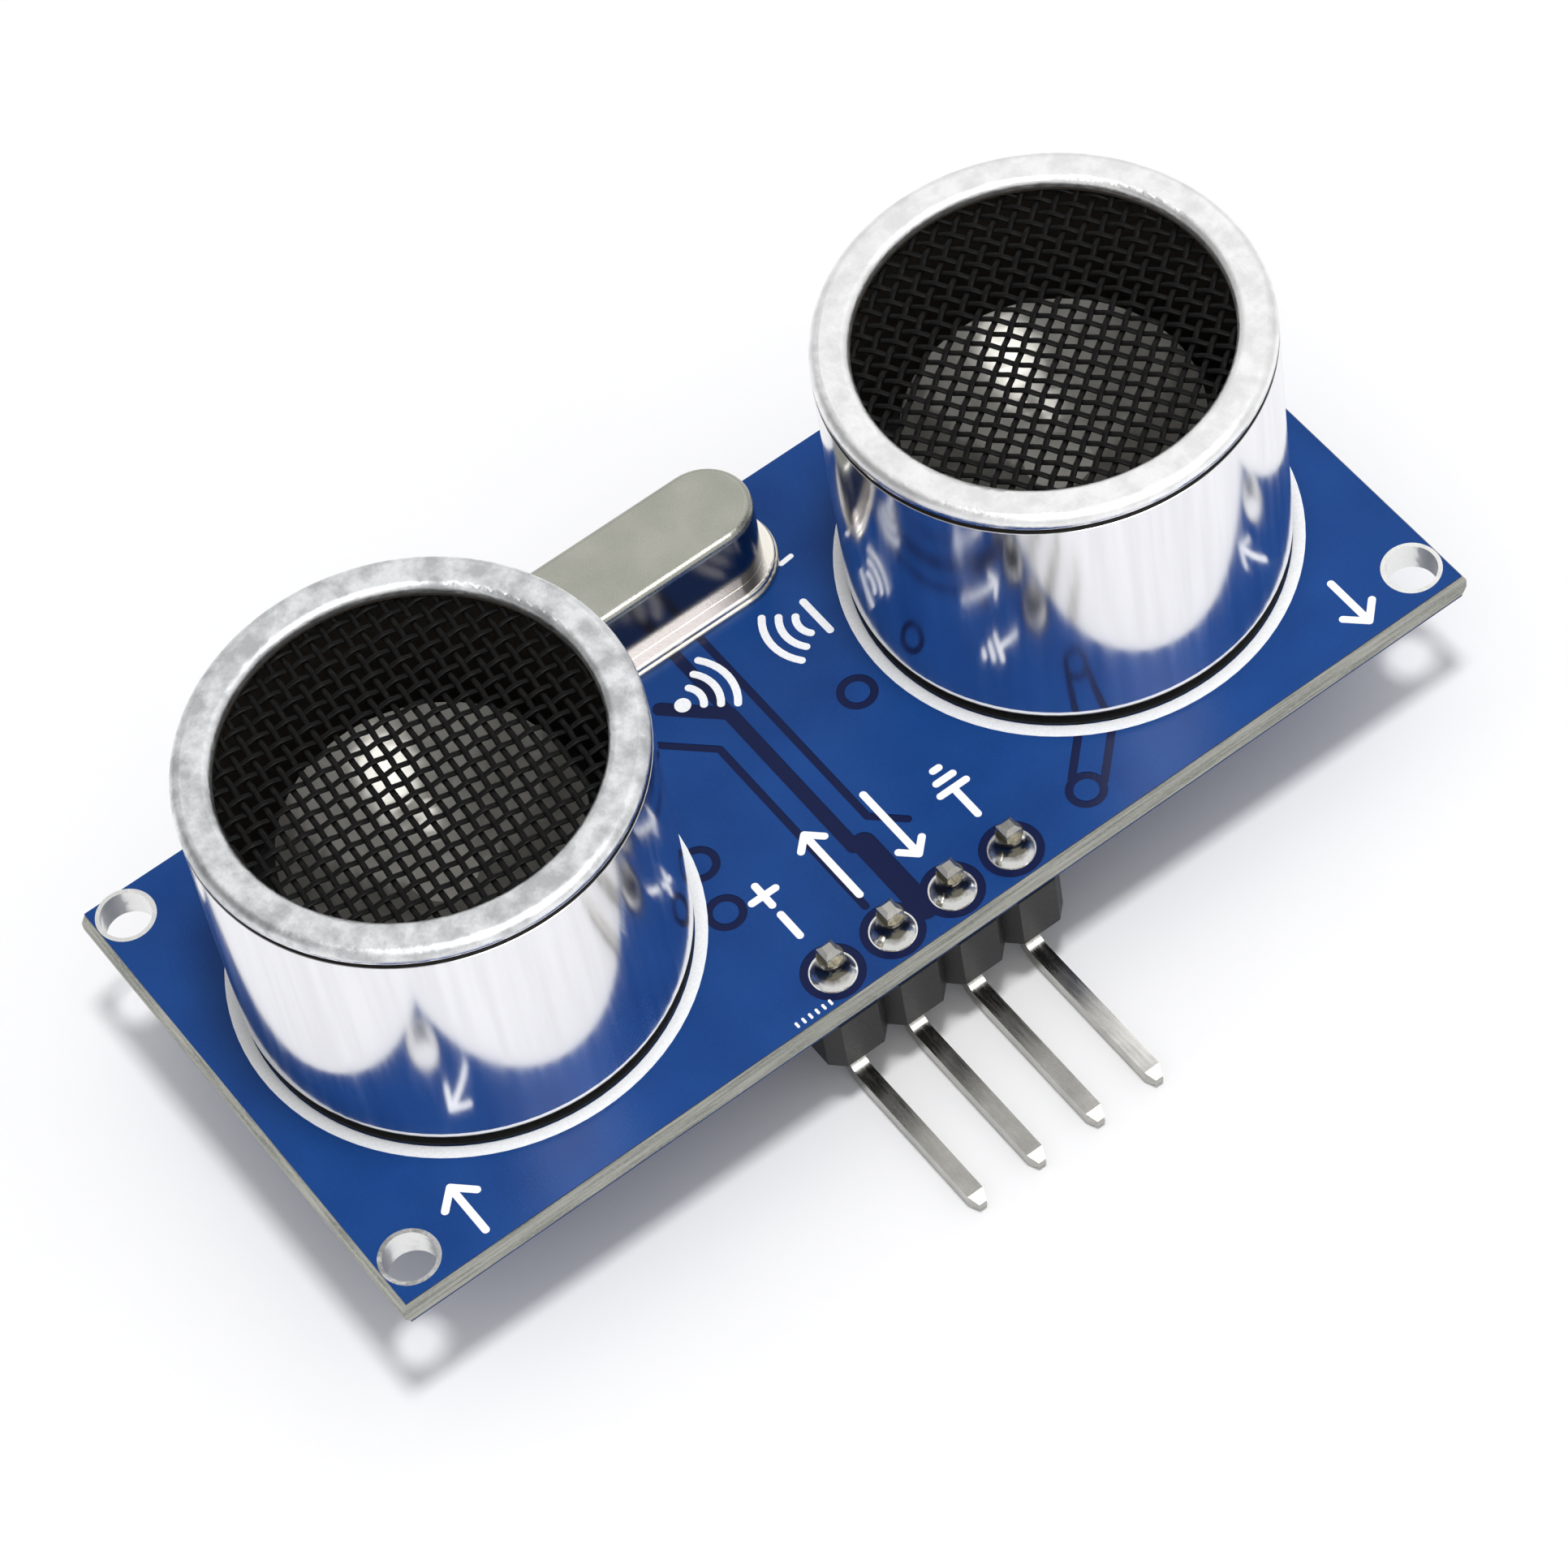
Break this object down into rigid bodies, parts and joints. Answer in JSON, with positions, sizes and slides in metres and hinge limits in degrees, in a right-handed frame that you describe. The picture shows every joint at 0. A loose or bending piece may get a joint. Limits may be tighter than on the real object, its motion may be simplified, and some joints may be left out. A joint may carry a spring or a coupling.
{
  "type": "ultrasonic distance sensor",
  "caption": "Ultrasonic distance sensor: blue circuit board with two round aluminium transducer cans, a quartz crystal and a bent pin header.",
  "frame": {"origin": "centre of the four corner holes, on the front face of the circuit board", "axes": "+Z out of the front along the transducer cans, +X from transmitter to receiver, +Y from the header to the crystal"},
  "size_m": [0.0454, 0.0265, 0.018],
  "materials": {
    "board_core": "bare glass-fibre edge",
    "solder_mask": "satin blue lacquer",
    "copper": "bare copper foil",
    "solder": "shiny tin",
    "white_ink": "printed ink",
    "can_aluminium": "polished wall, satin lip",
    "mesh_black": "black coated wire",
    "cone_aluminium": "spun, bright",
    "bender_brass": "satin",
    "piezo_ceramic": "fired ceramic with silver face",
    "silicone": "translucent white",
    "base_plastic": "moulded",
    "tinned_wire": "tinned",
    "nickel": "satin nickel",
    "glass_seal": "fused glass",
    "quartz": "polished quartz",
    "header_plastic": "moulded nylon",
    "chip_epoxy": "moulded epoxy",
    "resistor_ceramic": "glazed top",
    "capacitor_ceramic": "fired ceramic"
  },
  "bodies": {
    "root": {"capacitor_bodies": "capacitor_ceramic", "capacitor_ends": "solder", "circuit_board": "board_core", "copper_back": "copper", "copper_front": "copper", "crystal_base": "nickel", "crystal_can": "nickel", "crystal_clips": "nickel", "crystal_leads": "tinned_wire", "crystal_seals": "glass_seal", "header_body": "header_plastic", "header_pins": "tinned_wire", "header_solder": "solder", "microcontroller_body": "chip_epoxy", "microcontroller_leads": "tinned_wire", "pads_back": "solder", "plated_holes": "solder", "quartz_blank": "quartz", "receiver_amplifier_body": "chip_epoxy", "receiver_amplifier_leads": "tinned_wire", "receiver_base": "base_plastic", "receiver_bender_plate": "bender_brass", "receiver_can": "can_aluminium", "receiver_cone": "cone_aluminium", "receiver_lead_wires": "tinned_wire", "receiver_mesh": "mesh_black", "receiver_piezo_disc": "piezo_ceramic", "receiver_support_ring": "silicone", "receiver_terminals": "tinned_wire", "resistor_bodies": "resistor_ceramic", "resistor_ends": "solder", "silkscreen_front": "white_ink", "solder_joints_back": "solder", "solder_mask_back": "solder_mask", "solder_mask_front": "solder_mask", "transistor_body": "chip_epoxy", "transistor_leads": "tinned_wire", "transmitter_base": "base_plastic", "transmitter_bender_plate": "bender_brass", "transmitter_can": "can_aluminium", "transmitter_cone": "cone_aluminium", "transmitter_driver_body": "chip_epoxy", "transmitter_driver_leads": "tinned_wire", "transmitter_lead_wires": "tinned_wire", "transmitter_mesh": "mesh_black", "transmitter_piezo_disc": "piezo_ceramic", "transmitter_support_ring": "silicone", "transmitter_terminals": "tinned_wire"}
  },
  "joints": []
}
